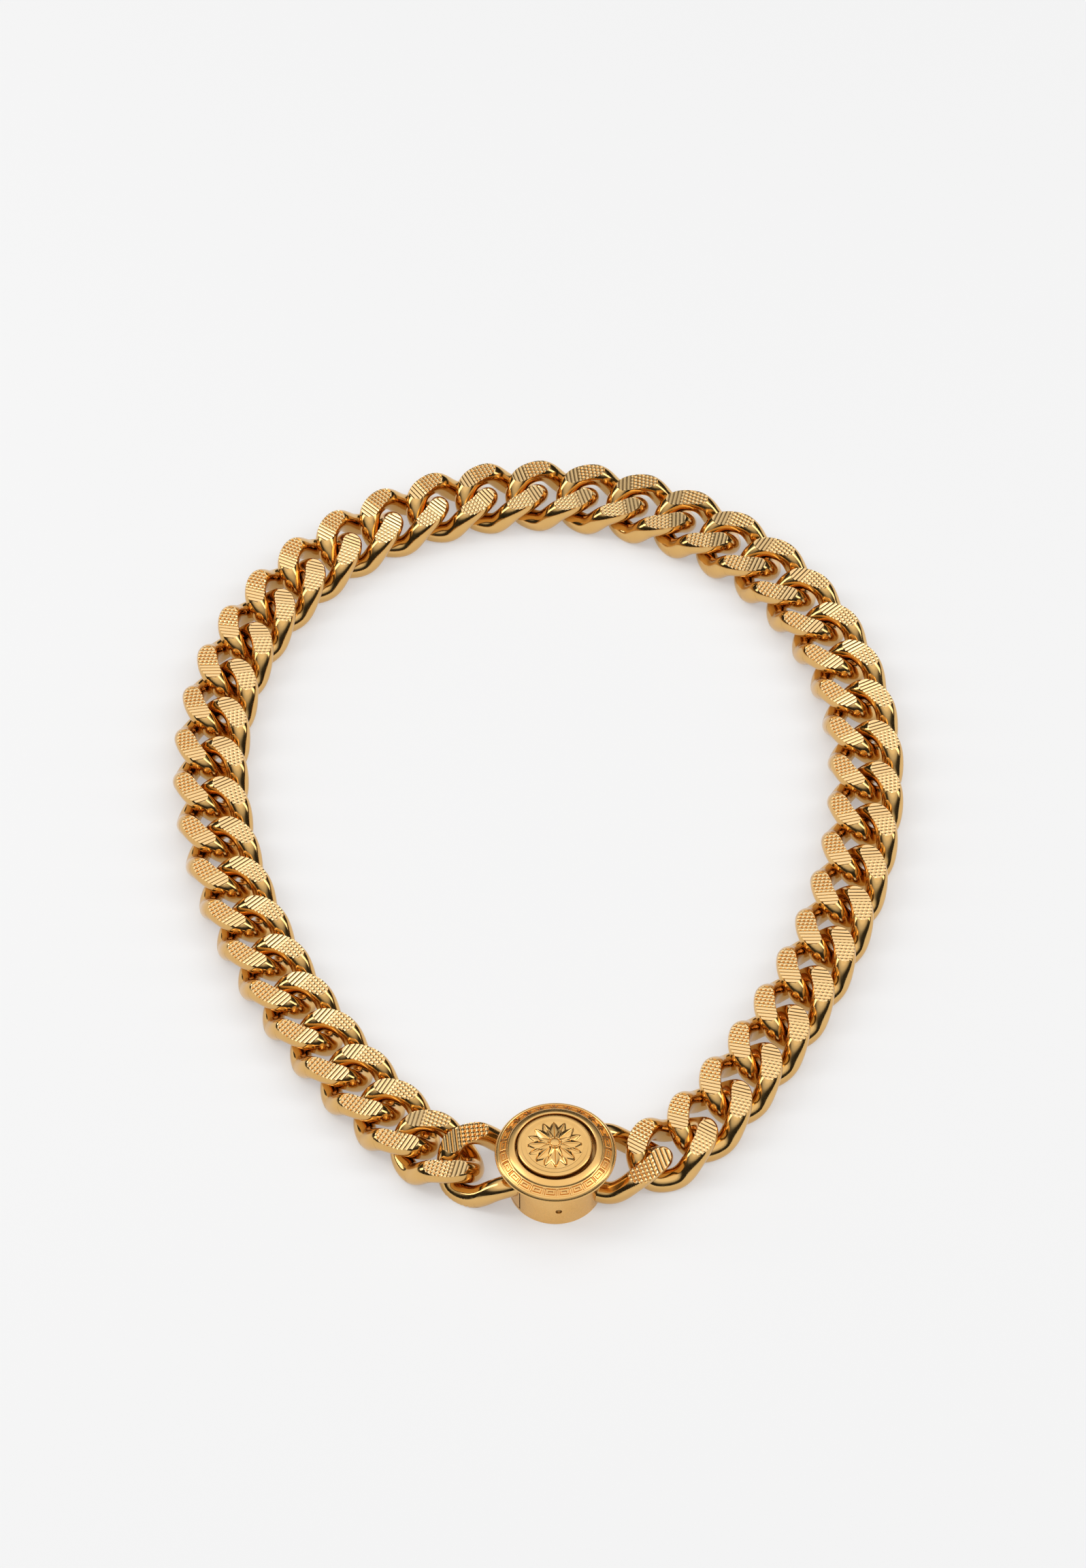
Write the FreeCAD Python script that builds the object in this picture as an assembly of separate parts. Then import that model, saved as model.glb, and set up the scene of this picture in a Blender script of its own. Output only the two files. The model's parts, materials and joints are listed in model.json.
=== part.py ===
import FreeCAD, Part
import math
import os

V = FreeCAD.Vector
os.makedirs("parts", exist_ok=True)

# Necklace lying flat on its back. +Z up, +Y away from the clasp, origin under the
# middle of the loop, millimetres. Each node is one STEP file in parts/.
# Shapes are made with the clasp's axis at x = 0, y = 0 and moved when they are saved.

# ---- chain ----
LINKS = 42                  # plain links between the two end links
PITCH = 10.2                # distance from one link to the next
WIRE = 4.2                  # thickness of the wire the links are made of
HALF_LENGTH = 7.35          # middle of the wire, along the chain
HALF_WIDTH = 5.275          # middle of the wire, across the chain
TAPER = 0.6                 # third wave along the chain, which narrows the link's ends
SIDE_FLATNESS = 0.2         # third wave across the chain, which flattens its sides
RISE = 2.4                  # how far the twist lifts and drops the wire
TWIST_LEAN = -0.04          # fourth wave of the twist, a share of the second
TWIST_LEVEL = 0.07          # sixth wave, which levels the high and low stretches
HALF_HEIGHT = 3.45          # the links are ground flat this far above and below

# ---- loop ----
FIRST_TURN = 15.15          # bend between the first two links beside the clasp
SIDE_TURN = 3.25            # bend per link along the sides
BACK_TURN = 9.5             # bend per link around the back of the neck
BACK_SPREAD = 0.584         # share of each side that the back bend reaches
BACK_SHARPNESS = 3.47       # how quickly the back bend fades into the sides
FIRST_JOINT_Y = 2.43        # the first joint stands this far behind the clasp's axis
CLASP_Y = -81.52            # the clasp's axis in the finished part

# ---- end links ----
END_HALF_LENGTH = 8.12
END_HALF_WIDTH = 6.04
END_RISE = 3.1
END_TAPER = 0.4
END_FADE = 0.6              # how level the wire gets towards the drum
END_X = 11.7                # centres of the end links, from the clasp's axis
END_Y = 2.42
END_TILT = 5.65             # their long axes rise this much towards the chain
JOIN_GAP = 0.02             # solder film between an end link and the drum

# ---- clasp ----
DRUM_R = 8.7
DRUM_IN_R = 7.6
DRUM_TOP = 9.9
BAND_H = 0.6                # ring of drum wall left under the removable piece
BASE_R = 7.55
FREE_R = 7.3                # the plates stand back to here from the removable piece
BASE_T = 0.8
DECK_BOTTOM = 9.0
DECK_TOP = 9.8
RIM_R = 11.2
BUTTON_HOLE_R = 7.4
BUTTON_R = 6.95
BUTTON_BOTTOM = 11.2
BUTTON_TOP = 12.65
BUTTON_X = -0.15            # the button sits a little off centre in its recess
BUTTON_Y = 0.12
PETALS = 8
PETAL_RING_R = 3.1
PETAL_R = 1.5
RELIEF_H = 1.1
STEM_R = 0.9
STEM_BOTTOM = 3.3
FIT = 0.05                  # radial clearance of the stem in its guides
CLIP_R = 1.95
CLIP_BOTTOM = 8.35
CLIP_TOP = 8.95
SPRING_R = 1.45             # middle of the spring's wire
SPRING_WIRE = 0.5
SPRING_TURNS = 3
INSERT_ANGLE = 173.5        # middle of the removable piece of wall
INSERT_HALF_ANGLE = 45.3
SLIT = 0.25                 # open joint around that piece
INSERT_BOTTOM = 0.75
INSERT_TOP = 9.75
TONGUE_HALF_W = 2.2
TONGUE_BOTTOM = 1.3
TONGUE_TOP = 2.1
TONGUE_TIP_X = 3.0
LEAF_HALF_W = 1.9
LEAF_T = 0.42
LEAF_ROOT_X = 2.2
LEAF_END_X = -5.2
LEAF_END_Z = 3.95
GUIDE_HALF_W = 2.9
GUIDE_WALL = 0.8
GUIDE_BOTTOM = 0.82
GUIDE_ROOF = 4.6
GUIDE_TOP = 5.2
GUIDE_MOUTH_X = -6.2
GUIDE_STOP_X = 3.4
CATCH_T = 0.6
CATCH_BOTTOM = 3.3
PIN_R = 0.6
PIN_X = 0.3
PIN_Z = 3.9
PIN_RECESS = 0.3


def save(name, shape):
    placed = shape.copy()
    placed.translate(V(0, CLASP_Y, 0))
    placed.exportStep("parts/" + name + ".step")


def cylinder(radius, bottom, top, x=0, y=0):
    return Part.makeCylinder(radius, top - bottom, V(x, y, bottom))


def box(x0, x1, half_width, z0, z1):
    return Part.makeBox(x1 - x0, 2 * half_width, z1 - z0, V(x0, -half_width, z0))


def revolved(points):
    """A ring turned from an outline of (radius, height) points."""
    wire = Part.makePolygon([V(r, 0, z) for r, z in points + points[:1]])
    return Part.Face(wire).revolve(V(0, 0, 0), V(0, 0, 1), 360)


def sector(half_angle, bottom, top):
    """A wedge of a disc around INSERT_ANGLE, wide enough to cut through the drum."""
    wedge = Part.makeCylinder(DRUM_R + 2, top - bottom, V(0, 0, bottom),
                              V(0, 0, 1), 2 * half_angle)
    wedge.rotate(V(0, 0, 0), V(0, 0, 1), INSERT_ANGLE - half_angle)
    return wedge


# ---- links ----

def wave_gain(order, count):
    """What is left of a wave when a cubic spline takes count samples of it as poles."""
    return (2 + math.cos(2 * math.pi * order / count)) / 3


def fading(waves, fade):
    """The same waves, at full strength at the +X end and weaker by fade at the other."""
    full = 1 + fade * math.cos(math.radians(45))
    result = {}
    for n, size in waves.items():
        for order, share in ((n, 1), (n - 1, fade / 2), (n + 1, fade / 2)):
            result[order] = result.get(order, 0) + size * share / full
    return result


def curb_link(half_length, half_width, rise, taper, fade=0):
    """A twisted ring of round wire, long axis along X, ground flat above and below."""
    along = 48
    around = 12
    radius = WIRE / 2 / wave_gain(1, around)
    twist = rise / (1 - TWIST_LEVEL)
    lengthwise = {1: half_length - taper, 3: taper}
    crosswise = {1: half_width + SIDE_FLATNESS, 3: SIDE_FLATNESS}
    upright = fading({2: -twist, 4: twist * TWIST_LEAN, 6: -twist * TWIST_LEVEL}, fade)
    rows = []
    for i in range(along):
        t = 2 * math.pi * i / along
        centre = V(sum(size / wave_gain(n, along) * math.cos(n * t)
                       for n, size in lengthwise.items()),
                   sum(size / wave_gain(n, along) * math.sin(n * t)
                       for n, size in crosswise.items()),
                   sum(size / wave_gain(n, along) * math.sin(n * t)
                       for n, size in upright.items()))
        tangent = V(-sum(n * size * math.sin(n * t) for n, size in lengthwise.items()),
                    sum(n * size * math.cos(n * t) for n, size in crosswise.items()),
                    sum(n * size * math.cos(n * t) for n, size in upright.items()))
        tangent.normalize()
        outward = tangent.cross(V(0, 0, 1))
        outward.normalize()
        upward = outward.cross(tangent)
        row = []
        for j in range(around):
            a = math.pi + 2 * math.pi * j / around      # the seam runs inside the ring
            row.append(centre + outward * (radius * math.cos(a))
                       + upward * (radius * math.sin(a)))
        rows.append(row)
    skin = Part.BSplineSurface()
    skin.buildFromPolesMultsKnots(
        rows, [1] * (along + 1), [1] * (around + 1),
        list(range(along + 1)), list(range(around + 1)), True, True, 3, 3)
    ring = Part.Solid(Part.Shell([skin.toShape()]))
    if ring.Volume < 0:
        ring.reverse()
    slab = Part.makeBox(4 * half_length, 4 * half_width, 2 * HALF_HEIGHT,
                        V(-2 * half_length, -2 * half_width, -HALF_HEIGHT))
    link = ring.common(slab).Solids[0]
    link.translate(V(0, 0, HALF_HEIGHT))
    return link


def bend_after(k):
    """Bend between link k and the next, on the half of the loop left of the clasp."""
    if k == 1:
        return FIRST_TURN
    half = LINKS // 2
    u = (half - k) / (half - 1)
    fade = math.exp(-(u / BACK_SPREAD) ** BACK_SHARPNESS)
    return SIDE_TURN + (BACK_TURN - SIDE_TURN) * fade


def headings():
    """Heading of every link, degrees from +X, going clockwise from the clasp."""
    left = [bend_after(LINKS // 2) / 2]
    for k in range(LINKS // 2 - 1, 0, -1):
        left.insert(0, left[0] + bend_after(k))
    return left + [-h for h in reversed(left)]


def placed(shape, x, y, heading):
    copy = shape.copy()
    copy.rotate(V(0, 0, 0), V(0, 0, 1), heading)
    copy.translate(V(x, y, 0))
    return copy


def make_chain():
    link = curb_link(HALF_LENGTH, HALF_WIDTH, RISE, TAPER)
    angles = headings()
    steps = [(PITCH * math.cos(math.radians(h)), PITCH * math.sin(math.radians(h)))
             for h in angles]
    x = -sum(dx for dx, dy in steps) / 2
    y = FIRST_JOINT_Y
    for k, (dx, dy) in enumerate(steps):
        name = "link_%02d" % (k + 1)
        save(name, placed(link, x + dx / 2, y + dy / 2, angles[k]))
        x += dx
        y += dy


def make_end_links():
    """The two links that are soldered to the clasp, cut to sit against its drum."""
    ring = curb_link(END_HALF_LENGTH, END_HALF_WIDTH, END_RISE, END_TAPER, END_FADE)
    drum = cylinder(DRUM_R + JOIN_GAP, -1, DRUM_TOP)
    fixed_wall = cylinder(DRUM_R + SLIT, -1, DRUM_TOP)
    fixed_wall = fixed_wall.cut(sector(INSERT_HALF_ANGLE, INSERT_BOTTOM, DRUM_TOP + 1))
    left = placed(ring, -END_X, END_Y, 180 - END_TILT).cut(drum).cut(fixed_wall)
    right = placed(ring, END_X, END_Y, END_TILT).cut(drum)
    save("left_end_link", largest(left))
    save("right_end_link", largest(right))


def largest(shape):
    return max(shape.Solids, key=lambda solid: solid.Volume)


# ---- clasp housing ----

def make_drum():
    wall = cylinder(DRUM_R, 0, DRUM_TOP).cut(cylinder(DRUM_IN_R, -1, DRUM_TOP + 1))
    slit_angle = math.degrees(SLIT / 2 / DRUM_R)
    wall = wall.cut(sector(INSERT_HALF_ANGLE + slit_angle, BAND_H, DRUM_TOP + 1))
    hole = Part.makeCylinder(PIN_R + JOIN_GAP, 3, V(PIN_X, -DRUM_R - 1, PIN_Z),
                             V(0, 1, 0))
    save("clasp_drum", wall.cut(hole))


def plate(bottom, top):
    """A disc inside the drum, cut back where the removable piece of wall slides past."""
    recess = sector(INSERT_HALF_ANGLE + 2, bottom - 1, top + 1)
    recess = recess.cut(cylinder(FREE_R, bottom - 1, top + 1))
    return cylinder(BASE_R, bottom, top).cut(recess)


def make_base():
    save("base_plate", plate(0, BASE_T))


def make_deck():
    hole = cylinder(STEM_R + FIT, DECK_BOTTOM - 1, DECK_TOP + 1, BUTTON_X, BUTTON_Y)
    save("deck_plate", plate(DECK_BOTTOM, DECK_TOP).cut(hole))


def make_bezel():
    outline = [
        (BUTTON_HOLE_R, DRUM_TOP),
        (BUTTON_HOLE_R, 12.25),
        (BUTTON_HOLE_R + 0.25, 12.5),
        (8.7, 12.12),           # smooth inner slope
        (8.95, 11.82),          # step down to the band
        (10.45, 11.05),         # sloping band
        (10.6, 11.12),          # small lip outside the band
        (10.95, 10.85),
        (RIM_R, 10.5),
        (RIM_R, 10.3),
        (10.9, 9.98),
        (10.6, DRUM_TOP),
    ]
    save("bezel_ring", revolved(outline))


def make_guide():
    outer = box(GUIDE_MOUTH_X, GUIDE_STOP_X + GUIDE_WALL, GUIDE_HALF_W + GUIDE_WALL,
                GUIDE_BOTTOM, GUIDE_TOP)
    channel = box(GUIDE_MOUTH_X - 1, GUIDE_STOP_X, GUIDE_HALF_W,
                  GUIDE_BOTTOM - 1, GUIDE_ROOF)
    catch = box(GUIDE_MOUTH_X, GUIDE_MOUTH_X + CATCH_T, GUIDE_HALF_W,
                CATCH_BOTTOM, GUIDE_ROOF)
    stem_hole = cylinder(STEM_R + FIT, GUIDE_ROOF - 0.5, GUIDE_TOP + 1,
                         BUTTON_X, BUTTON_Y)
    pin_hole = Part.makeCylinder(PIN_R + JOIN_GAP, 2,
                                 V(PIN_X, -GUIDE_HALF_W - GUIDE_WALL - 1, PIN_Z),
                                 V(0, 1, 0))
    guide = outer.cut(channel).fuse(catch).cut(stem_hole).cut(pin_hole)
    save("tongue_guide", guide.removeSplitter())


def make_pin():
    start = -math.sqrt(DRUM_R ** 2 - PIN_X ** 2) + PIN_RECESS
    end = -GUIDE_HALF_W - 0.05
    save("side_pin", Part.makeCylinder(PIN_R, end - start, V(PIN_X, start, PIN_Z),
                                       V(0, 1, 0)))


# ---- push button ----

def make_button():
    disc = cylinder(BUTTON_R, BUTTON_BOTTOM, BUTTON_TOP, BUTTON_X, BUTTON_Y)
    top_edge = [e for e in disc.Edges
                if e.BoundBox.ZMin > BUTTON_TOP - 0.01 and len(e.Vertexes) == 1]
    disc = disc.makeFillet(0.25, top_edge)
    save("button_disc", disc)


def make_rosette():
    """A round boss, a ring of petals and a rim bead, standing on the button."""
    low = BUTTON_TOP + 0.01
    boss = Part.makeSphere(1.7, V(0, 0, low + RELIEF_H - 1.7))
    relief = boss.fuse(Part.makeTorus(5.0, 0.35, V(0, 0, low)))
    for k in range(PETALS):
        a = 2 * math.pi * k / PETALS
        petal = Part.makeSphere(PETAL_R, V(PETAL_RING_R * math.cos(a),
                                           PETAL_RING_R * math.sin(a),
                                           low + 0.85 - PETAL_R))
        relief = relief.fuse(petal)
    above = cylinder(BUTTON_R - 1, low, low + 3)
    ground = cylinder(5.0, low, low + 0.2)
    relief = relief.common(above).fuse(ground)
    relief.translate(V(BUTTON_X, BUTTON_Y, 0))
    save("medallion_rosette", relief.removeSplitter())


def make_stem():
    save("button_stem", cylinder(STEM_R, STEM_BOTTOM, BUTTON_BOTTOM - 0.01,
                                 BUTTON_X, BUTTON_Y))


def make_clip():
    ring = cylinder(CLIP_R, CLIP_BOTTOM, CLIP_TOP, BUTTON_X, BUTTON_Y)
    bore = cylinder(STEM_R + 0.01, CLIP_BOTTOM - 1, CLIP_TOP + 1, BUTTON_X, BUTTON_Y)
    save("stem_clip", ring.cut(bore))


def make_return_spring():
    bottom = GUIDE_TOP + SPRING_WIRE / 2 + 0.03
    top = CLIP_BOTTOM - SPRING_WIRE / 2 - 0.03
    helix = Part.makeHelix((top - bottom) / SPRING_TURNS, top - bottom, SPRING_R)
    start = helix.Edges[0].valueAt(helix.Edges[0].FirstParameter)
    direction = helix.Edges[0].tangentAt(helix.Edges[0].FirstParameter)
    profile = Part.Wire(Part.makeCircle(SPRING_WIRE / 2, start, direction))
    coil = Part.Wire(helix.Edges).makePipeShell([profile], True, True)
    coil.translate(V(BUTTON_X, BUTTON_Y, bottom))
    save("button_return_spring", coil)


# ---- removable end of the clasp ----

def make_insert():
    wall = cylinder(DRUM_R, INSERT_BOTTOM, INSERT_TOP)
    wall = wall.cut(cylinder(DRUM_IN_R, 0, DRUM_TOP))
    slit_angle = math.degrees(SLIT / 2 / DRUM_R)
    wall = wall.common(sector(INSERT_HALF_ANGLE - slit_angle, 0, DRUM_TOP))
    save("clasp_insert", wall)


def make_tongue():
    blade = box(-DRUM_R, TONGUE_TIP_X, TONGUE_HALF_W, TONGUE_BOTTOM, TONGUE_TOP)
    save("tongue_blade", blade.common(cylinder(DRUM_IN_R - JOIN_GAP, 0, DRUM_TOP)))


def make_leaf():
    low = TONGUE_TOP + 0.01
    outline = [
        (TONGUE_TIP_X - 0.1, low),
        (TONGUE_TIP_X - 0.1, low + LEAF_T),
        (LEAF_ROOT_X, low + LEAF_T),
        (LEAF_END_X, LEAF_END_Z),
        (LEAF_END_X, LEAF_END_Z - LEAF_T),
        (LEAF_ROOT_X, low),
    ]
    wire = Part.makePolygon([V(x, -LEAF_HALF_W, z) for x, z in outline + outline[:1]])
    save("tongue_leaf_spring", Part.Face(wire).extrude(V(0, 2 * LEAF_HALF_W, 0)))


make_chain()
make_end_links()
make_drum()
make_base()
make_deck()
make_bezel()
make_guide()
make_pin()
make_button()
make_rosette()
make_stem()
make_clip()
make_return_spring()
make_insert()
make_tongue()
make_leaf()
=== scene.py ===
import itertools
import json
import math
from collections import namedtuple

import bpy
import bmesh
import numpy as np
from mathutils import Matrix, Vector
from mathutils.geometry import delaunay_2d_cdt


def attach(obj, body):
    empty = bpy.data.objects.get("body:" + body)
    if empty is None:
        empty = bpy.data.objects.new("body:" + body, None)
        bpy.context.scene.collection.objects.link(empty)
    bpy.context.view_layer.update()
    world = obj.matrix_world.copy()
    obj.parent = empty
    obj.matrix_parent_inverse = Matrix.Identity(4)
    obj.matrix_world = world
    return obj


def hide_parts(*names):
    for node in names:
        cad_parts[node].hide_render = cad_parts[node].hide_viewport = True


MM = 0.001

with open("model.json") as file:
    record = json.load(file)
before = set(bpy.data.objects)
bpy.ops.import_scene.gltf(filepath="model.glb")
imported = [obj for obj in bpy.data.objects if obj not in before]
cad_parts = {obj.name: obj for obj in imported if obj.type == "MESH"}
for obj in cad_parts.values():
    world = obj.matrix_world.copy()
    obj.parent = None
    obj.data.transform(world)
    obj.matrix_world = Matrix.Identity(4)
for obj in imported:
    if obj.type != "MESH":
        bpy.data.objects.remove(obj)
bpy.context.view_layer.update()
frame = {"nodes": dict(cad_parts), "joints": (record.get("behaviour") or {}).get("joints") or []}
scene = bpy.context.scene

# ---- sizes, in millimetres ----

# A kind of link: middle of its wire along and across the chain, how far the twist lifts it,
# how its ends narrow, and how much the twist fades towards its -X end.
LinkKind = namedtuple("LinkKind", "half_length half_width rise taper fade")
PLAIN_LINK = LinkKind(7.35, 5.275, 2.4, 0.6, 0.0)
END_LINK = LinkKind(8.12, 6.04, 3.1, 0.4, 0.6)
END_X = 11.7
END_Y = 2.42
END_TILT = math.radians(5.65)
END_STAND_OFF = 0.02  # between an end link's arms and the drum
WIRE_RADIUS = 2.1
SIDE_FLATNESS = 0.2
TWIST_LEAN = -0.04
TWIST_LEVEL = 0.07
HALF_HEIGHT = 3.45

# How a facet is engraved, in rows across it: spacing of the rows, length of a scale, depth of the
# grooves between rows, further depth between scales, how far a scale bows, and slope of the rows.
Engraving = namedtuple("Engraving", "row cell depth notch bow skew")
FINE = Engraving(row=0.80, cell=0.80, depth=0.17, notch=0.26, bow=0.18, skew=0.25)
DEEP = Engraving(row=1.00, cell=0.80, depth=0.30, notch=0.50, bow=0.05, skew=0.55)
SCALES_UNTIL = 0.45  # share of the facet's length that is all scales
SCALES_FADE = 0.25  # share over which they turn into plain ridges
NOTCH_START = 0.4  # share of half a scale that the notch leaves alone
GROOVE_POWER = 1.6
NOTCH_POWER = 1.5
EDGE_LIFT = 0.25  # the engraving fades where the wire stands less than this above the facet

# How finely the links are meshed.
FACET_ROWS = 44
EVEN_SPACING = 0.35  # the other part of the rows' spacing is closer towards the facet's ends
PLAIN_ROWS = 8
SIDE_STEPS = 16
ARM_ROWS = 80
SECTION_POINTS = 24
GRID_HALF_WIDTH = 5.0
GRID_STEPS = 6  # points along a scale
GRID_SHARES = (0.0, 0.2, 0.45, 0.75)  # lines of points in a row
GRID_MARGIN = 0.045  # between the grid and the facet's rim

# The clasp, about its own axis.
DRUM_R = 8.7
BUTTON_X = -0.15
BUTTON_Y = 0.12
BUTTON_TOP = 12.65
BUTTON_AROUND = 160
BAND_INNER = 8.96
BAND_WIDTH = 1.48
BAND_TOP = 11.82
BAND_FALL = 0.76
BAND_MIDDLE = 9.7
BAND_DEPTH = 0.24
BAND_BLOCKS = 24
BAND_RINGS = 36
BAND_AROUND = 1200

# The flower on the button. A ring of petals: their reach, half width and height, and how far the
# ring is turned, as a share of the step between petals.
PetalRing = namedtuple("PetalRing", "length width high turn")
PETALS = 8
PETAL_RINGS = (PetalRing(5.2, 1.25, 0.46, 0.5), PetalRing(5.0, 1.45, 0.72, 0.0),
               PetalRing(3.3, 0.98, 1.02, 0.5))
RIB_DEPTH = 0.16
RIB_WIDTH = 0.07
BOSS_R = 0.85
BOSS_SIDE = 0.88
BOSS_CROWN = 0.16
BEADS = 12
BEAD_RING_R = 1.12
BEAD_R = 0.24
BEAD_FOOT = 0.78
FLOWER_R = 5.3
FLOWER_FADE_R = 5.05
FLOWER_CENTRE_R = 0.03
FLOWER_RINGS = 96
FLOWER_AROUND = 320


def clasp_axis():
    """Foot of the clasp's axis, in metres, from the box of its bezel."""
    node = frame["nodes"]["bezel_ring"]
    corners = [node.matrix_world @ Vector(c) for c in node.bound_box]
    return Vector((0.0, sum(c.y for c in corners) / 8, 0.0))


CLASP = clasp_axis()


# ---- mesh helpers ----

def add_object(name, data):
    obj = bpy.data.objects.new(name, data)
    scene.collection.objects.link(obj)
    return obj


def make_mesh(name, verts, faces, slots=(), face_slots=None, sharp_deg=32):
    """A mesh from points in millimetres, welded, with edges sharper than sharp_deg left crisp."""
    mesh = bpy.data.meshes.new(name)
    mesh.from_pydata([tuple(c * MM for c in v) for v in verts], [], faces)
    if face_slots is not None:
        mesh.polygons.foreach_set("material_index", face_slots)
    work = bmesh.new()
    work.from_mesh(mesh)
    bmesh.ops.remove_doubles(work, verts=work.verts, dist=1e-7)
    bmesh.ops.dissolve_degenerate(work, edges=work.edges, dist=1e-8)
    bmesh.ops.recalc_face_normals(work, faces=work.faces)
    work.to_mesh(mesh)
    work.free()
    for material in slots:
        mesh.materials.append(material)
    mesh.shade_smooth()
    mesh.set_sharp_from_angle(angle=math.radians(sharp_deg))
    return mesh


# ---- link ----

class Ring:
    """The twisted ring of round wire that a link is ground from, long axis along X."""

    def __init__(self, kind):
        twist = kind.rise / (1 - TWIST_LEVEL)
        self.lengthwise = {1: kind.half_length - kind.taper, 3: kind.taper}
        self.crosswise = {1: kind.half_width + SIDE_FLATNESS, 3: SIDE_FLATNESS}
        self.upright = {}
        full = 1 + kind.fade * math.cos(math.radians(45))
        waves = ((2, -twist), (4, twist * TWIST_LEAN), (6, -twist * TWIST_LEVEL))
        for n, size in waves:
            for order, share in ((n, 1), (n - 1, kind.fade / 2), (n + 1, kind.fade / 2)):
                self.upright[order] = self.upright.get(order, 0) + size * share / full

    def frame_at(self, t):
        """Middle of the wire, and the outward and upward directions of its section."""
        centre = np.array([sum(size * math.cos(n * t) for n, size in self.lengthwise.items()),
                           sum(size * math.sin(n * t) for n, size in self.crosswise.items()),
                           sum(size * math.sin(n * t) for n, size in self.upright.items())])
        tangent = np.array([-sum(n * size * math.sin(n * t) for n, size in self.lengthwise.items()),
                            sum(n * size * math.cos(n * t) for n, size in self.crosswise.items()),
                            sum(n * size * math.cos(n * t) for n, size in self.upright.items())])
        tangent /= np.linalg.norm(tangent)
        outward = np.cross(tangent, [0, 0, 1])
        outward /= np.linalg.norm(outward)
        return centre, outward, np.cross(outward, tangent)

    def point(self, t, a):
        centre, outward, upward = self.frame_at(t)
        return centre + WIRE_RADIUS * (math.cos(a) * outward + math.sin(a) * upward)

    def lift(self, t):
        """How far the top of the wire stands above the height where the link is ground flat."""
        centre, _, upward = self.frame_at(t)
        return centre[2] + WIRE_RADIUS * upward[2] - HALF_HEIGHT

    def angle_at_height(self, t, height):
        """Angle in the section, on the outward side, where the skin is at that height."""
        centre, _, upward = self.frame_at(t)
        return math.asin(max(-1, min(1, (height - centre[2]) / (WIRE_RADIUS * upward[2]))))

    def facet_span(self):
        """Where along the ring the facet in the fourth quadrant starts and ends."""
        ends = []
        for low, high in ((1.5 * math.pi, 1.75 * math.pi), (2 * math.pi, 1.75 * math.pi)):
            for _ in range(50):
                middle = (low + high) / 2
                if self.lift(middle) > 0:
                    high = middle
                else:
                    low = middle
            ends.append(high)
        return ends


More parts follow.
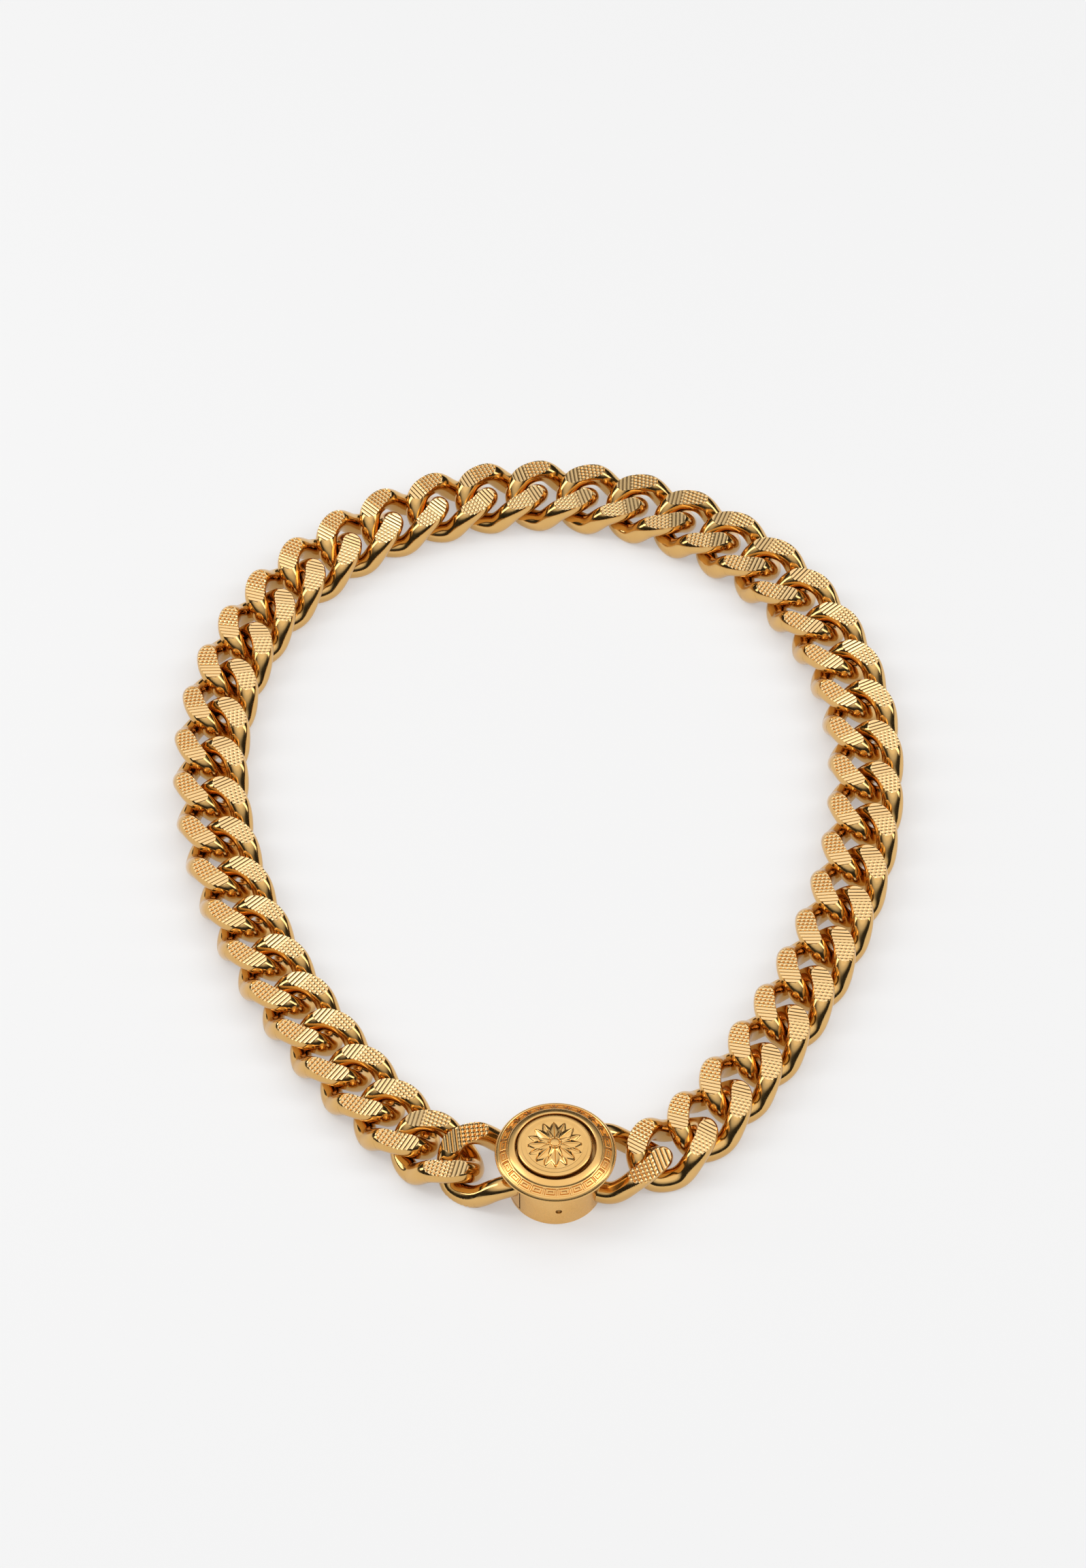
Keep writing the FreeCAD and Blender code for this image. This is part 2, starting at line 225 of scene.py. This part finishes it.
class Facet:
    """The flat, engraved oval in the fourth quadrant of a link, from its side to its tip."""

    def __init__(self, ring, engraving):
        self.ring = ring
        self.engraving = engraving
        self.start, self.end = ring.facet_span()
        side = ring.point(self.start, math.pi / 2)
        tip = ring.point(self.end, math.pi / 2)
        self.origin = side[:2]
        along = (tip - side)[:2]
        self.length = float(np.linalg.norm(along))
        self.along = along / self.length
        self.across = np.array([-self.along[1], self.along[0]])
        ease = [(1 - math.cos(math.pi * i / FACET_ROWS)) / 2 for i in range(FACET_ROWS + 1)]
        span = self.end - self.start
        self.stations = [
            self.start + span * (EVEN_SPACING * i / FACET_ROWS + (1 - EVEN_SPACING) * e)
            for i, e in enumerate(ease)]
        self.outer = [self.edge_angle(t, outer=True) for t in self.stations]
        self.inner = [self.edge_angle(t, outer=False) for t in self.stations]

    def warp(self, row, share, u):
        """Place along the facet of a point in a row, which bows at each scale."""
        e = self.engraving
        phase = u / e.cell + 0.5 * (row % 2)
        bulge = 1 - (2 * (phase - math.floor(phase)) - 1) ** 2
        return e.row * (row + share) + e.skew * u + e.bow * bulge * self.scaliness(e.row * row)

    def scaliness(self, v):
        """1 where the facet carries scales, near the side, fading to plain ridges at the tip."""
        x = min(1, max(0, (v / self.length - SCALES_UNTIL) / SCALES_FADE))
        return 1 - x * x * (3 - 2 * x)

    def depth(self, row, share, u):
        """Depth of the engraving: a row is a ridge between two grooves, notched at its scales."""
        e = self.engraving
        phase = u / e.cell + 0.5 * (row % 2)
        side = abs(2 * (phase - math.floor(phase)) - 1)
        notch = max(0, (side - NOTCH_START) / (1 - NOTCH_START)) ** NOTCH_POWER
        notch *= self.scaliness(e.row * row)
        valley = abs(2 * share - 1)
        return e.depth * valley ** GROOVE_POWER + e.notch * notch * (1 - share) ** NOTCH_POWER

    def local(self, point):
        """Place of a point across and along the facet."""
        offset = np.asarray(point[:2]) - self.origin
        return float(offset @ self.across), float(offset @ self.along)

    def depth_at(self, point):
        """Depth of the engraving under any point of the facet."""
        u, v = self.local(point)
        row = math.floor((v - self.engraving.skew * u) / self.engraving.row)
        for candidate in (row + 1, row, row - 1, row - 2):
            share = (v - self.warp(candidate, 0, u)) / self.engraving.row
            if share >= 0:
                return self.depth(candidate, min(1, share), u)
        return 0.0

    def edge_angle(self, t, outer):
        """Angle in the section where the engraved facet meets the round wire."""
        height = HALF_HEIGHT
        angle = math.pi / 2
        for _ in range(6):
            angle = self.ring.angle_at_height(t, height)
            if not outer:
                angle = math.pi - angle
            fade = min(1, self.ring.lift(t) / EDGE_LIFT)
            height = HALF_HEIGHT - self.depth_at(self.ring.point(t, angle)) * fade
        return angle

    def patch(self):
        """The facet's own mesh: its rim as it lies on the wire, and the engraved points inside."""
        rim = [self.ring.point(t, a) for t, a in zip(self.stations, self.outer)]
        rim += [self.ring.point(t, a)
                for t, a in list(zip(self.stations, self.inner))[-2:0:-1]]
        points = [tuple(p) for p in rim]
        outline = np.array([p[:2] for p in rim])
        e = self.engraving
        count = int(GRID_HALF_WIDTH / e.cell * GRID_STEPS)
        slope = e.skew * GRID_HALF_WIDTH
        first = -int(slope / e.row) - 2
        last = int((self.length + slope) / e.row) + 2
        for row, share in itertools.product(range(first, last + 1), GRID_SHARES):
            for i in range(-count, count + 1):
                u = i * e.cell / GRID_STEPS
                place = self.origin + u * self.across + self.warp(row, share, u) * self.along
                if well_inside(place, outline, GRID_MARGIN):
                    depth = self.depth(row, share, u)
                    points.append((place[0], place[1], HALF_HEIGHT - depth))
        flat = [Vector(p[:2]) for p in points]
        border = [(i, (i + 1) % len(rim)) for i in range(len(rim))]
        placed, _, faces, origins, _, _ = delaunay_2d_cdt(flat, border, [], 1, 1e-6)
        verts = [(p.x, p.y, points[origin[0]][2]) for p, origin in zip(placed, origins)]
        return verts, [tuple(f) for f in faces]


def well_inside(place, outline, margin):
    """Is a place inside a closed outline, and further than margin from each of its sides?"""
    x, y = place
    ax, ay = outline[:, 0], outline[:, 1]
    bx, by = np.roll(ax, -1), np.roll(ay, -1)
    crosses = (ay > y) != (by > y)
    with np.errstate(divide="ignore", invalid="ignore"):
        hits = crosses & (x < (bx - ax) * (y - ay) / (by - ay) + ax)
    if hits.sum() % 2 == 0:
        return False
    dx, dy = bx - ax, by - ay
    share = np.clip(((x - ax) * dx + (y - ay) * dy) / (dx * dx + dy * dy + 1e-12), 0, 1)
    return bool(np.hypot(x - ax - share * dx, y - ay - share * dy).min() > margin)


def turned(points, signs):
    """Points turned half a turn about an axis, or about none, by the signs of their coordinates."""
    return [(signs[0] * x, signs[1] * y, signs[2] * z) for x, y, z in points]


class MeshParts:
    """Points, faces and each face's material slot: 0 on the round wire, 1 on the facets."""

    def __init__(self):
        self.verts, self.faces, self.slots = [], [], []

    def add(self, verts, faces, slot):
        base = len(self.verts)
        self.verts.extend(tuple(v) for v in verts)
        self.faces.extend(tuple(base + i for i in f) for f in faces)
        self.slots.extend([slot] * len(faces))


def wire_skin(ring, stations, outer, inner):
    """The round part of the wire, left open between the two angles given for each station."""
    top = math.pi / 2
    verts, faces = [], []
    for t, a_outer, a_inner in zip(stations, outer, inner):
        centre, out, up = ring.frame_at(t)
        for a_start, a_end in ((a_outer, -top), (a_inner, 3 * top)):
            for k in range(SIDE_STEPS + 1):
                a = a_start + (a_end - a_start) * k / SIDE_STEPS
                verts.append(centre + WIRE_RADIUS * (math.cos(a) * out + math.sin(a) * up))
    width = 2 * (SIDE_STEPS + 1)
    for row in range(len(stations) - 1):
        for strip in (0, SIDE_STEPS + 1):
            for k in range(SIDE_STEPS):
                i = row * width + strip + k
                faces.append((i, i + 1, i + 1 + width, i + width))
    return verts, faces


def quarter_skin(ring, facet):
    """The wire from the middle of a side to the middle of the +X tip, around its facet."""
    top = math.pi / 2
    before = [1.5 * math.pi + (facet.start - 1.5 * math.pi) * i / PLAIN_ROWS
              for i in range(PLAIN_ROWS)]
    after = [facet.end + (2 * math.pi - facet.end) * (i + 1) / PLAIN_ROWS
             for i in range(PLAIN_ROWS)]
    plain = [top] * PLAIN_ROWS
    return wire_skin(ring, before + facet.stations + after,
                     plain + facet.outer + plain, plain + facet.inner + plain)


def engraved_quarters(kind, engraving, quarters):
    """The given quarters of a link, each the fourth quadrant turned by its signs."""
    ring = Ring(kind)
    facet = Facet(ring, engraving)
    skin_verts, skin_faces = quarter_skin(ring, facet)
    patch_verts, patch_faces = facet.patch()
    parts = MeshParts()
    for signs in quarters:
        parts.add(turned(skin_verts, signs), skin_faces, 0)
        parts.add(turned(patch_verts, signs), patch_faces, 1)
    return parts


def plain_link_parts():
    """A plain link: two facets on top and two below."""
    return engraved_quarters(PLAIN_LINK, FINE, ((1, 1, 1), (-1, -1, 1), (1, -1, -1), (-1, 1, -1)))


def end_link_parts(x, y, heading):
    """An end link in the clasp's frame: two facets away from the drum, and two arms up to it."""
    parts = engraved_quarters(END_LINK, DEEP, ((1, 1, 1), (1, -1, -1)))
    ring = Ring(END_LINK)
    cos_h, sin_h = math.cos(heading), math.sin(heading)
    wall = DRUM_R + END_STAND_OFF
    top = math.pi / 2

    def in_clasp(p):
        return (p[0] * cos_h - p[1] * sin_h + x,
                p[0] * sin_h + p[1] * cos_h + y,
                p[2] + HALF_HEIGHT)

    def is_in_drum(t, signs):
        """Is the arm's whole section at t inside the drum's wall?"""
        section = [in_clasp(turned([ring.point(t, a)], signs)[0])
                   for a in np.linspace(0, 2 * math.pi, SECTION_POINTS)]
        return max(math.hypot(p[0], p[1]) for p in section) < wall

    for signs in ((1, 1, 1), (1, -1, -1)):
        stations = []
        for i in range(ARM_ROWS):
            stations.append(1.5 * math.pi - top * i / (ARM_ROWS - 1))
            if is_in_drum(stations[-1], signs):
                break
        verts, faces = wire_skin(ring, stations, [top] * len(stations), [top] * len(stations))
        parts.add(turned(verts, signs), faces, 0)

    placed = []
    for px, py, pz in map(in_clasp, parts.verts):
        r = math.hypot(px, py)
        if r < wall:
            px, py = px * wall / r, py * wall / r
        placed.append((px, py, max(0.0, min(2 * HALF_HEIGHT, pz))))
    parts.verts = placed
    return parts


# ---- materials ----

def new_material(name):
    """A node material, its nodes and links, and its shader."""
    material = bpy.data.materials.new(name)
    material.use_nodes = True
    nodes = material.node_tree.nodes
    return material, nodes, material.node_tree.links, nodes["Principled BSDF"]


def gold(name, colour, deep, rough, rough_spread, grain_scale, grain_depth):
    """Plated metal: its colour drifts a little towards deep, and its polish is uneven."""
    material, nodes, links, shader = new_material(name)
    shader.inputs["Metallic"].default_value = 1.0
    coords = nodes.new("ShaderNodeTexCoord")
    drift = nodes.new("ShaderNodeTexNoise")
    drift.inputs["Scale"].default_value = 180.0
    drift.inputs["Detail"].default_value = 3.0
    links.new(coords.outputs["Object"], drift.inputs["Vector"])
    tint = nodes.new("ShaderNodeMix")
    tint.data_type = "RGBA"
    tint.inputs["A"].default_value = (*colour, 1)
    tint.inputs["B"].default_value = (*deep, 1)
    links.new(drift.outputs["Fac"], tint.inputs["Factor"])
    links.new(tint.outputs["Result"], shader.inputs["Base Color"])
    grain = nodes.new("ShaderNodeTexNoise")
    grain.inputs["Scale"].default_value = grain_scale
    grain.inputs["Detail"].default_value = 4.0
    links.new(coords.outputs["Object"], grain.inputs["Vector"])
    polish = nodes.new("ShaderNodeMapRange")
    polish.inputs["From Min"].default_value = 0.3
    polish.inputs["From Max"].default_value = 0.7
    polish.inputs["To Min"].default_value = rough - rough_spread
    polish.inputs["To Max"].default_value = rough + rough_spread
    links.new(grain.outputs["Fac"], polish.inputs["Value"])
    links.new(polish.outputs["Result"], shader.inputs["Roughness"])
    bump = nodes.new("ShaderNodeBump")
    bump.inputs["Distance"].default_value = grain_depth
    bump.inputs["Strength"].default_value = 1.0
    links.new(grain.outputs["Fac"], bump.inputs["Height"])
    links.new(bump.outputs["Normal"], shader.inputs["Normal"])
    return material


CLASP_DEEP = (0.76, 0.42, 0.12)
wire_gold = gold("wire_gold", (0.80, 0.51, 0.20), (0.68, 0.39, 0.12),
                 0.13, 0.04, 900.0, 0.000004)
# The facets' base colour is painted light: lighter than the wire's gold because the flat facets
# face up into the light. Only their higher roughness is their real satin finish.
facet_gold_painted_light = gold("facet_gold_painted_light", (0.93, 0.66, 0.33), (0.87, 0.57, 0.25),
                  0.22, 0.05, 2500.0, 0.000004)
clasp_gold = gold("clasp_satin_gold", (0.88, 0.56, 0.22), CLASP_DEEP,
                  0.27, 0.03, 700.0, 0.000003)
relief_gold = gold("relief_gold", (0.90, 0.58, 0.23), CLASP_DEEP,
                   0.18, 0.04, 1200.0, 0.000003)
# The inner parts' colour is painted shade: the brass is darkened to stand in for the shade inside
# the clasp.
inner_brass = gold("inner_brass", (0.50, 0.32, 0.13), (0.36, 0.22, 0.08),
                   0.35, 0.05, 900.0, 0.000005)
spring_steel = gold("spring_steel", (0.62, 0.61, 0.60), (0.5, 0.5, 0.5),
                    0.25, 0.05, 900.0, 0.000005)


# ---- stage and camera ----

CAMERA_LENS = 147.6
CAMERA_SIDE = -0.0252
CAMERA_BACK = 0.689  # in front of the clasp
CAMERA_HEIGHT = 0.971
CAMERA_DOWN = math.radians(51.05)
CAMERA_AIM = (0.0332, 0.99945)  # its direction over the floor

FLOOR_HALF = 3.0
FLOOR_DROP = 0.00002


def make_camera():
    data = bpy.data.cameras.new("camera")
    data.sensor_width = 36
    data.lens = CAMERA_LENS
    data.clip_start = 0.01
    data.clip_end = 20
    camera = add_object("camera", data)
    camera.location = (CAMERA_SIDE, CLASP.y - CAMERA_BACK, CAMERA_HEIGHT)
    level = math.cos(CAMERA_DOWN)
    look = Vector((CAMERA_AIM[0] * level, CAMERA_AIM[1] * level, -math.sin(CAMERA_DOWN)))
    camera.rotation_euler = look.to_track_quat("-Z", "Y").to_euler()
    scene.camera = camera


def make_floor():
    mesh = bpy.data.meshes.new("floor")
    corners = [(x * FLOOR_HALF, y * FLOOR_HALF, 0) for x, y in ((-1, -1), (1, -1), (1, 1), (-1, 1))]
    mesh.from_pydata(corners, [], [(0, 1, 2, 3)])
    material, _, _, shader = new_material("pale_floor")
    shader.inputs["Base Color"].default_value = (0.6, 0.6, 0.6, 1)
    shader.inputs["Roughness"].default_value = 0.9
    shader.inputs["Emission Color"].default_value = (1, 1, 1, 1)
    shader.inputs["Emission Strength"].default_value = 0.33
    mesh.materials.append(material)
    floor = add_object("floor", mesh)
    floor.location.z = -FLOOR_DROP


def make_lights():
    """A dark horizon under a bright ceiling, and two long soft boxes."""
    world = bpy.data.worlds.new("studio")
    scene.world = world
    world.use_nodes = True
    nodes, links = world.node_tree.nodes, world.node_tree.links
    background = nodes["Background"]
    coords = nodes.new("ShaderNodeTexCoord")
    split = nodes.new("ShaderNodeSeparateXYZ")
    links.new(coords.outputs["Generated"], split.inputs["Vector"])
    ramp = nodes.new("ShaderNodeValToRGB")
    ramp.color_ramp.interpolation = "EASE"
    for place, grey in ((0.0, 0.015), (0.36, 0.03), (0.66, 0.75), (0.82, 1.1)):
        stop = ramp.color_ramp.elements.new(place)
        stop.color = (grey, grey, grey, 1)
    ramp.color_ramp.elements.remove(ramp.color_ramp.elements[0])
    ramp.color_ramp.elements.remove(ramp.color_ramp.elements[-1])
    links.new(split.outputs["Z"], ramp.inputs["Fac"])
    links.new(ramp.outputs["Color"], background.inputs["Color"])
    background.inputs["Strength"].default_value = 1.0
    for name, place, size, power in (("left_box", (-0.75, 0.10, 0.55), (0.25, 0.9), 2.4),
                                     ("right_box", (0.80, -0.05, 0.60), (0.25, 0.9), 2.0)):
        data = bpy.data.lights.new(name, "AREA")
        data.shape = "RECTANGLE"
        data.size, data.size_y = size
        data.energy = power
        lamp = add_object(name, data)
        lamp.location = place
        lamp.rotation_euler = (-Vector(place)).to_track_quat("-Z", "Y").to_euler()


scene.view_settings.view_transform = "Standard"
make_camera()
make_floor()
make_lights()


# ---- chain ----

joints = {j["name"]: j for j in frame["joints"]}


def joint_place(name):
    return Vector(joints[name]["pos_m"])


def make_chain():
    """Every plain link shares one mesh, and lies midway between its two joints."""
    parts = plain_link_parts()
    mesh = make_mesh("link_shape", parts.verts, parts.faces, (wire_gold, facet_gold_painted_light), parts.slots)
    names = [j["name"] for j in frame["joints"] if j["name"].startswith("bend_")]
    for before, after in zip(names, names[1:]):
        node = joints[before]["child"]
        start, end = joint_place(before), joint_place(after)
        piece = add_object("engraved_" + node, mesh)
        heading = math.atan2(end.y - start.y, end.x - start.x)
        middle = Matrix.Translation((start + end) / 2)
        piece.matrix_world = middle @ Matrix.Rotation(heading, 4, "Z")
        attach(piece, node)
        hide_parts(node)


# ---- clasp ----

def place_on_clasp(name, mesh, body, node):
    piece = add_object(name, mesh)
    piece.location = CLASP
    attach(piece, body)
    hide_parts(node)


def make_end_links():
    for node, body, x, heading in (("left_end_link", "clasp_tongue", -END_X, math.pi - END_TILT),
                                   ("right_end_link", "clasp", END_X, END_TILT)):
        parts = end_link_parts(x, END_Y, heading)
        name = "engraved_" + node
        mesh = make_mesh(name, parts.verts, parts.faces, (wire_gold, facet_gold_painted_light), parts.slots)
        place_on_clasp(name, mesh, body, node)


def smooth_step(x, low, high):
    x = np.clip((x - low) / (high - low), 0, 1)
    return x * x * (3 - 2 * x)


def groove(distance, half_width, soft):
    """1 in the middle of a groove, 0 outside it, for arrays of distances from its line."""
    return 1 - smooth_step(np.abs(distance), half_width, half_width + soft)


def turned_skin(radii, heights, around):
    """Points and faces of a surface of rings; a ring's height is a number, or one per point."""
    verts, faces = [], []
    for radius, height in zip(radii, heights):
        for k in range(around):
            a = 2 * math.pi * k / around
            z = height[k] if isinstance(height, np.ndarray) else height
            verts.append((radius * math.cos(a), radius * math.sin(a), z))
    for row in range(len(radii) - 1):
        for k in range(around):
            i, j = row * around + k, row * around + (k + 1) % around
            faces.append((i, j, j + around, i + around))
    return verts, faces


def on_button(verts):
    """Points about the button's axis, which isn't quite the clasp's."""
    return [(x + BUTTON_X, y + BUTTON_Y, z) for x, y, z in verts]


def band_depth(radius, angles):
    """Engraving of the bezel: framed blocks with a bar inside each, and a tick between them."""
    step = 2 * math.pi / BAND_BLOCKS
    half = step / 2 * BAND_MIDDLE
    along = np.abs((np.mod(angles, step) - step / 2) * BAND_MIDDLE)
    across = abs(radius - BAND_MIDDLE)
    block = groove(np.maximum(along - half * 0.70, across - 0.46), 0.10, 0.05)
    bar = 1 - smooth_step(np.maximum(along - half * 0.34, across - 0.12), 0.0, 0.06)
    tick = groove(half - along, 0.06, 0.05) * (1 if across < 0.5 else 0)
    return BAND_DEPTH * np.maximum(np.maximum(block, bar), tick)


def make_bezel():
    """The sloping rim: outline from the button's recess over the band and lip, to the drum."""
    recess = [(7.4, 9.9), (7.4, 12.2), (7.44, 12.36), (7.55, 12.46), (7.68, 12.48), (8.0, 12.38),
              (8.4, 12.25), (8.66, 12.14), (8.76, 12.07), (8.84, 11.95), (8.92, 11.85)]
    band = [(BAND_INNER + BAND_WIDTH * k / BAND_RINGS, BAND_TOP - BAND_FALL * k / BAND_RINGS)
            for k in range(BAND_RINGS + 1)]
    lip = [(10.48, 11.08), (10.56, 11.12), (10.64, 11.1), (10.8, 10.98), (10.95, 10.84),
           (11.1, 10.66), (11.18, 10.5), (11.19, 10.36), (11.14, 10.24), (10.9, 10.0),
           (10.75, 9.92), (10.6, 9.9), (9.0, 9.9), (7.4, 9.9)]
    angles = 2 * math.pi * np.arange(BAND_AROUND) / BAND_AROUND
    radii, heights = zip(*(recess + band[:1]))
    carved = [z - band_depth(r, angles) for r, z in band[1:-1]]
    lip_radii, lip_heights = zip(*(band[-1:] + lip))
    radii = list(radii) + [r for r, z in band[1:-1]] + list(lip_radii)
    heights = list(heights) + carved + list(lip_heights)
    verts, faces = turned_skin(radii, heights, BAND_AROUND)
    mesh = make_mesh("engraved_bezel", verts, faces, (clasp_gold,), sharp_deg=40)
    place_on_clasp("engraved_bezel", mesh, "clasp", "bezel_ring")


def make_button():
    """The disc: outline from the middle of its underside over the rim to the middle of its top."""
    profile = [(0.02, 11.2), (6.8, 11.2), (6.93, 11.24), (6.95, 11.4), (6.95, 12.3), (6.92, 12.42),
               (6.84, 12.52), (6.72, 12.585), (6.56, 12.62), (6.3, 12.635), (6.16, 12.636),
               (6.1, 12.61), (6.04, 12.606), (5.9, 12.608), (3.0, 12.615), (0.02, 12.62)]
    radii, heights = zip(*profile)
    verts, faces = turned_skin(radii, heights, BUTTON_AROUND)
    mesh = make_mesh("rounded_button", on_button(verts), faces, (clasp_gold,), sharp_deg=50)
    place_on_clasp("rounded_button", mesh, "push_button", "button_disc")


def petal_height(r, angles, ring):
    """Heights of a ring of pointed petals with a midrib, at one radius and an array of angles."""
    step = 2 * math.pi / PETALS
    off = np.abs(np.mod(angles + ring.turn * step + step / 2, step) - step / 2) * r
    reach = min(1, r / ring.length)
    half = ring.width * np.sin(math.pi * reach ** 0.8) ** 0.7 * (1 - 0.25 * reach)
    crown = np.sqrt(np.clip(1 - off / np.maximum(half, 1e-6), 0, 1))
    rib = RIB_DEPTH * np.exp(-(off / RIB_WIDTH) ** 2) * (reach < 0.93)
    return np.where(reach < 1, ring.high * crown * (1 - 0.35 * reach) - rib * crown, 0)


def flower_height(r, angles):
    """Heights of the flower at one radius: the petals, the boss and the beads round it."""
    height = np.zeros(len(angles))
    for ring in PETAL_RINGS:
        height = np.maximum(height, petal_height(r, angles, ring))
    if r < BOSS_R:
        height = np.maximum(height, BOSS_SIDE + BOSS_CROWN * math.sqrt(1 - (r / BOSS_R) ** 2))
    step = 2 * math.pi / BEADS
    off = np.hypot((np.mod(angles, step) - step / 2) * r, r - BEAD_RING_R)
    bead = BEAD_FOOT + np.sqrt(np.maximum(0, BEAD_R ** 2 - off ** 2))
    height = np.maximum(height, np.where(off < BEAD_R, bead, 0))
    return height * (1 - smooth_step(r, FLOWER_FADE_R, FLOWER_R))


def make_rosette():
    """A flower standing on the button, from its rim to its middle."""
    angles = 2 * math.pi * np.arange(FLOWER_AROUND) / FLOWER_AROUND
    radii = [FLOWER_CENTRE_R + (FLOWER_R - FLOWER_CENTRE_R) * k / FLOWER_RINGS
             for k in range(FLOWER_RINGS, -1, -1)]
    heights = [BUTTON_TOP + 0.012 + flower_height(r, angles) for r in radii]
    radii = [FLOWER_R, FLOWER_R] + radii
    heights = [BUTTON_TOP + 0.01, BUTTON_TOP + 0.011] + heights
    verts, faces = turned_skin(radii, heights, FLOWER_AROUND)
    mesh = make_mesh("flower_relief", on_button(verts), faces, (relief_gold,), sharp_deg=60)
    place_on_clasp("flower_relief", mesh, "push_button", "medallion_rosette")


make_chain()
make_end_links()
make_bezel()
make_button()
make_rosette()

# ---- pieces shown as they are in the CAD ----

for name, node in frame["nodes"].items():
    if node.hide_render:
        continue
    # The mechanism's parts get the darkened brass, painted shade inside the clasp.
    material = inner_brass
    if name in ("clasp_drum", "clasp_insert"):
        material = clasp_gold
    elif name.endswith("spring"):
        material = spring_steel
    node.data.materials.clear()
    node.data.materials.append(material)
